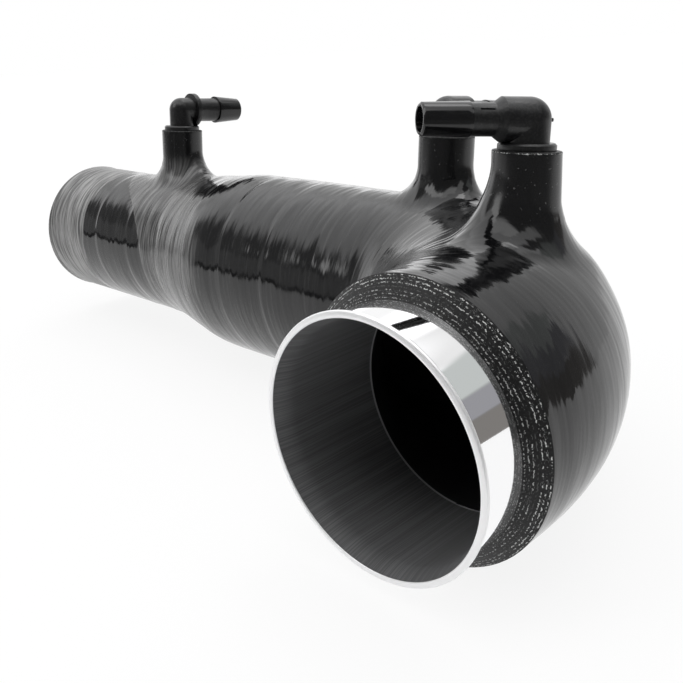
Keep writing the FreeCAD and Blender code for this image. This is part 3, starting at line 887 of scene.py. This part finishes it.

# %% [markdown]
# ## Polished metal
# Outside, the sleeve is polished to a mirror, with faint lines drawn along it. Inside it is drawn and dull,
# with the same lines plainer to see. Its dark grey, not metallic, is painted shade for the dark that the
# bore would mirror. Its rim is ground. The lines are noise stretched along the axis. Their places round it
# are divided by the distance from the axis, so that they run straight over the flare too.

# %% Sleeve material
LINES_ROUND, LINES_ALONG, INNER_TO = 110.0, 16.0, 39.8
# the bore's dark greys are painted shade, standing for the dark that the bore mirrors
MIRROR, BORE_SHADE_DARK, BORE_SHADE_PALE = (0.94, 0.94, 0.945), (0.086, 0.086, 0.087), (0.150, 0.152, 0.155)
END_PALE = (0.40, 0.40, 0.41)
metal_material = bpy.data.materials.new("sleeve_polish")
tree, metal_shader = dress(metal_material)
centred = node("ShaderNodeMapping", {"Vector": own_place(), "Location": (-MOUTH_X * MM, 0.0, -AXIS_HEIGHT * MM)})
metal_x, metal_y, metal_z = split(centred.outputs[0])
reach = sums("SQRT", sums("ADD", times(metal_x, metal_x), times(metal_z, metal_z)))
lines = noise(join(times(sums("DIVIDE", metal_x, reach), LINES_ROUND), times(metal_y, LINES_ALONG),
                   times(sums("DIVIDE", metal_z, reach), LINES_ROUND)))
behind_lip = steps(metal_y, (RIM_Y + 0.25) * MM, (RIM_Y + 0.45) * MM)
inner_side = times(steps(reach, INNER_TO * MM, (INNER_TO + 0.1) * MM, 1.0, 0.0), behind_lip)
rim_edge = steps(metal_y, (RIM_Y + LIP_THICK) * MM, (RIM_Y + LIP_THICK + 0.1) * MM, 1.0, 0.0)
end_line = steps(metal_y, (SLEEVE_END_Y - 0.7) * MM, (SLEEVE_END_Y - 0.5) * MM)
drawn_rough = steps(lines, 0.3, 0.7, 0.42, 0.55)
polished_rough = times_plus(rim_edge, 0.30, steps(lines, 0.3, 0.7, 0.03, 0.06))
metal_rough = node("ShaderNodeMix", {"Factor": inner_side, 2: polished_rough, 3: drawn_rough}, data_type="FLOAT")
# the bore is painted dark grey and not metallic: painted shade, with the drawn lines and a pale end in it
bore_shade_colour = blend(steps(lines, 0.34, 0.68), BORE_SHADE_DARK, BORE_SHADE_PALE)
bore_shade_colour = blend(end_line, bore_shade_colour, END_PALE)
metal_colour = blend(inner_side, MIRROR, bore_shade_colour)
metal_normal = bump(times(lines, minus(1.0, rim_edge)), 0.004, 0.0001)
painted_bore_or_ground_rim = sums("MAXIMUM", inner_side, times(rim_edge, 0.55))
fill(metal_shader, {"Base Color": metal_colour, "Roughness": metal_rough.outputs[0], "Normal": metal_normal,
                    "Metallic": minus(1.0, painted_bore_or_ground_rim)})
sleeve.data.materials.append(metal_material)
print("sleeve material:", len(tree.nodes), "nodes")

# %% [markdown]
# ## Elbow fittings
# The fittings are injection moulded nylon. Their CAD solids have the right form but knife-sharp edges, so
# each is copied, its loose triangles are merged, and its sharp edges get a small bevel that catches light
# as a moulded edge does. The near one also has a short slit on its neck, which is cut with a small box.

# %% Round the fittings' edges
# piece, boss, height of the tail's axis over the boss, its turn from the X axis, and where its barb starts
FITTINGS = {"far_elbow": ("far_fitting", "far", 10.3, 85.0, 20.5),
            "middle_elbow": ("middle_fitting", "mid", 8.0, 81.0, 19.9),
            "near_elbow": ("near_fitting", "near", 9.3, 236.7, 19.9)}
TAIL_LEAN = Matrix.Rotation(-LEAN, 3, "X")
# the slit's piece, its middle along the tail, its turn from the top, the neck's radius, and the cutting box
SLIT_PIECE, SLIT_MIDDLE, SLIT_TURN, NECK_R, SLIT_BOX = "near_fitting", 15.2, 51.0, 5.2, (4.8, 0.6, 1.4)
EDGE_BEVEL, BEVEL_FROM = 0.28, 28.0
fittings = []


def cut_slit(piece, corner, tail_frame):
    """Cuts the slit with a small box, turned round the tail's axis and sunk half into the neck."""
    bpy.ops.mesh.primitive_cube_add(size=1.0)
    cutter = bpy.context.object
    turned = tail_frame @ Matrix.Rotation(math.radians(-SLIT_TURN), 3, "X")
    place = corner + turned @ Vector((SLIT_MIDDLE, 0.0, NECK_R))
    box = Matrix.Diagonal((*(size * MM for size in SLIT_BOX), 1.0))
    cutter.matrix_world = Matrix.Translation(place * MM) @ turned.to_4x4() @ box
    slit = piece.modifiers.new("slit", "BOOLEAN")
    slit.operation, slit.solver, slit.object = "DIFFERENCE", "EXACT", cutter
    take(piece)
    bpy.ops.object.modifier_apply(modifier="slit")
    bpy.data.objects.remove(cutter)


for cad_name, (piece_name, boss, rise, tail_turn, barb_start) in FITTINGS.items():
    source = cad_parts[cad_name]
    piece = source.copy()
    piece.data = source.data.copy()
    for name in list(piece.keys()):
        if name.startswith("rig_"):
            del piece[name]
    piece.parent = None
    piece.name = piece_name
    scene.collection.objects.link(piece)
    take(piece)
    bpy.ops.object.mode_set(mode="EDIT")
    bpy.ops.mesh.select_all(action="SELECT")
    bpy.ops.mesh.remove_doubles(threshold=0.000002)
    bpy.ops.mesh.customdata_custom_splitnormals_clear()
    bpy.ops.mesh.select_all(action="SELECT")
    bpy.ops.mesh.dissolve_limited(angle_limit=math.radians(0.5))
    bpy.ops.object.mode_set(mode="OBJECT")
    bevel = piece.modifiers.new("moulded_edges", "BEVEL")
    bevel.width = EDGE_BEVEL * MM
    bevel.segments = 3
    bevel.angle_limit = math.radians(BEVEL_FROM)
    bpy.ops.object.modifier_apply(modifier="moulded_edges")
    tail_frame = TAIL_LEAN @ Matrix.Rotation(math.radians(tail_turn), 3, "Z")
    corner = Vector(BOSSES[boss]["seat"] + SEAT_AXIS * rise)
    if piece_name == SLIT_PIECE:
        cut_slit(piece, corner, tail_frame)
    bpy.ops.object.shade_smooth_by_angle(angle=math.radians(30))
    reach = [(face.center / MM - corner).dot(tail_frame.col[0]) for face in piece.data.polygons]
    mask = piece.data.attributes.new("barb", "FLOAT", "FACE")
    mask.data.foreach_set("value", [float(along > barb_start) for along in reach])
    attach(piece, "root")
    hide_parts(cad_name)
    fittings.append(piece)
    print(piece_name, len(piece.data.polygons), "faces, tail reaches", round(max(reach), 1), "mm")

# %% [markdown]
# ## Nylon
# Moulded nylon is satin, with a fine grain that catches specks of light. The barbs come out of a polished
# part of the mould, so a face attribute marks them and they stay smooth.

# %% Nylon
nylon_material = bpy.data.materials.new("black_nylon")
tree, nylon_shader = dress(nylon_material)
nylon_place = own_place()
nylon_grain = noise(nylon_place, 1500.0)
nylon_cloud = noise(nylon_place, 180.0)
barb = node("ShaderNodeAttribute", attribute_name="barb").outputs["Fac"]
body = minus(1.0, barb)
speck = times(steps(nylon_grain, 0.42, 0.68), body)
nylon_colour = blend(speck, (0.004, 0.004, 0.0045), (0.016, 0.016, 0.0165))
nylon_rough = times_plus(body, 0.20, steps(nylon_cloud, 0.3, 0.7, 0.08, 0.18))
nylon_normal = bump(times(nylon_grain, body), 0.35, 0.00012)
fill(nylon_shader, {"Base Color": nylon_colour, "Roughness": nylon_rough, "Normal": nylon_normal})
for piece in fittings:
    piece.data.materials.clear()
    piece.data.materials.append(nylon_material)
print("nylon on", len(fittings), "fittings")

# %% [markdown]
# ## Studio
# Black gloss shows nothing but its surroundings, so the studio is half of the picture. The hose was
# photographed in a white tent that was open towards the camera: that dark opening makes the dark windows
# on the tube and the elbow, and the tent's cloth and a lamp overhead make the grey. The world carries
# the tent as panels given by compass direction and height, and the camera itself sees plain white.

# %% World
STUDIO = [
    # name, from azimuth, to azimuth, from elevation, to elevation, soft edge, grey or colour
    ("front opening", -33.0, 150.0, -30.0, 57.0, 5.0, 0.16),
    ("left gap", -78.0, -28.0, -30.0, 34.0, 9.0, 0.24),
    ("left gap low", -78.0, -28.0, 2.0, 17.0, 3.0, 0.42),
    ("table edge", -80.0, -28.0, -4.0, 2.5, 1.0, 0.08),
    ("left back cloth", -142.0, -94.0, 8.0, 31.0, 6.0, 1.0),
    ("left lamp", -50.0, -23.0, 23.0, 66.0, 5.0, 3.0),
    ("top lamp", -60.0, 96.0, 61.0, 82.0, 5.0, 2.1),
    ("overhead lamp", 160.0, 215.0, 58.0, 72.0, 4.0, 4.0),
    ("right strip", 96.0, 122.0, 36.0, 64.0, 5.0, 1.3),
    ("back cloth", 158.0, 194.0, -4.0, 46.0, 8.0, 0.85),
    ("back right low", 134.0, 161.0, -3.0, 13.0, 1.5, (0.21, 0.20, 0.19)),
    ("back right middle", 134.0, 161.0, 13.0, 25.0, 1.5, (0.31, 0.31, 0.33)),
    ("back right high", 134.0, 166.0, 25.0, 40.0, 2.0, (0.54, 0.565, 0.555)),
]
TENT = (1.45, 1.45, 1.46)
world = bpy.data.worlds.new("studio")
scene.world = world
world.use_nodes = True
tree = world.node_tree
tree.nodes.clear()
face_x, face_y, face_z = split(node("ShaderNodeTexCoord").outputs["Generated"])
azimuth = sums("DEGREES", sums("ARCTAN2", face_x, times(face_y, -1.0)))
elevation = sums("DEGREES", sums("ARCSINE", face_z))
shade = TENT
for name, az_a, az_b, el_a, el_b, soft, colour in STUDIO:
    turned = sums("WRAP", minus(azimuth, (az_a + az_b) / 2), 180.0, -180.0)
    raised = minus(elevation, (el_a + el_b) / 2)
    wide, tall = (steps(sums("ABSOLUTE", off), (size - soft) / 2, (size + soft) / 2, 1.0, 0.0)
                  for off, size in ((turned, az_b - az_a), (raised, el_b - el_a)))
    shade = blend(times(wide, tall), shade, np.broadcast_to(colour, 3).tolist())
studio_light = node("ShaderNodeBackground", {"Color": shade})
plain_white = node("ShaderNodeBackground", {"Color": (1.0, 1.0, 1.0, 1.0)})
rays = node("ShaderNodeLightPath")
seen = node("ShaderNodeMixShader", {
    0: rays.outputs["Is Camera Ray"], 1: studio_light.outputs[0], 2: plain_white.outputs[0]})
node("ShaderNodeOutputWorld", {"Surface": seen.outputs[0]})
print("studio panels:", len(STUDIO))

# %% [markdown]
# ## Floor
# The floor is white paper. The camera sees it nearly white, with a faint shadow. The gloss of the hose
# sees it lit as far as the tent's opening, and dark beyond.

# %% Floor
# direction on the floor towards the tent's opening, and how far that way the floor is lit, in metres
TOWARDS_OPENING, LIT_TO, DARK_FROM = (0.71, -0.70), 0.29, 0.37
bpy.ops.mesh.primitive_circle_add(vertices=96, radius=3.0, fill_type="NGON", location=(0.0, 0.0, -0.0005))
floor = bpy.context.object
floor.name = "floor"
bpy.ops.object.transform_apply()
floor_material = bpy.data.materials.new("pale_floor")
floor_material.use_nodes = True
tree = floor_material.node_tree
tree.nodes.clear()
paper = node("ShaderNodeBsdfDiffuse", {"Color": (0.92, 0.92, 0.92, 1.0)})
glow = node("ShaderNodeEmission")
rays = node("ShaderNodeLightPath")
floor_x, floor_y, _ = split(own_place())
to_front = times_plus(floor_y, TOWARDS_OPENING[1], times(floor_x, TOWARDS_OPENING[0]))
lit = steps(to_front, LIT_TO, DARK_FROM, 1.0, 0.22)
mirrored = times(rays.outputs["Is Glossy Ray"], lit)
shown = sums("MAXIMUM", times(rays.outputs["Is Camera Ray"], 0.88), mirrored)
unlit = node("ShaderNodeMixShader", {0: rays.outputs["Is Glossy Ray"], 1: paper.outputs[0]})
mixed = node("ShaderNodeMixShader", {0: shown, 1: unlit.outputs[0], 2: glow.outputs[0]})
node("ShaderNodeOutputMaterial", {"Surface": mixed.outputs[0]})
floor.data.materials.append(floor_material)
print("floor lit to", LIT_TO, "m towards the opening")
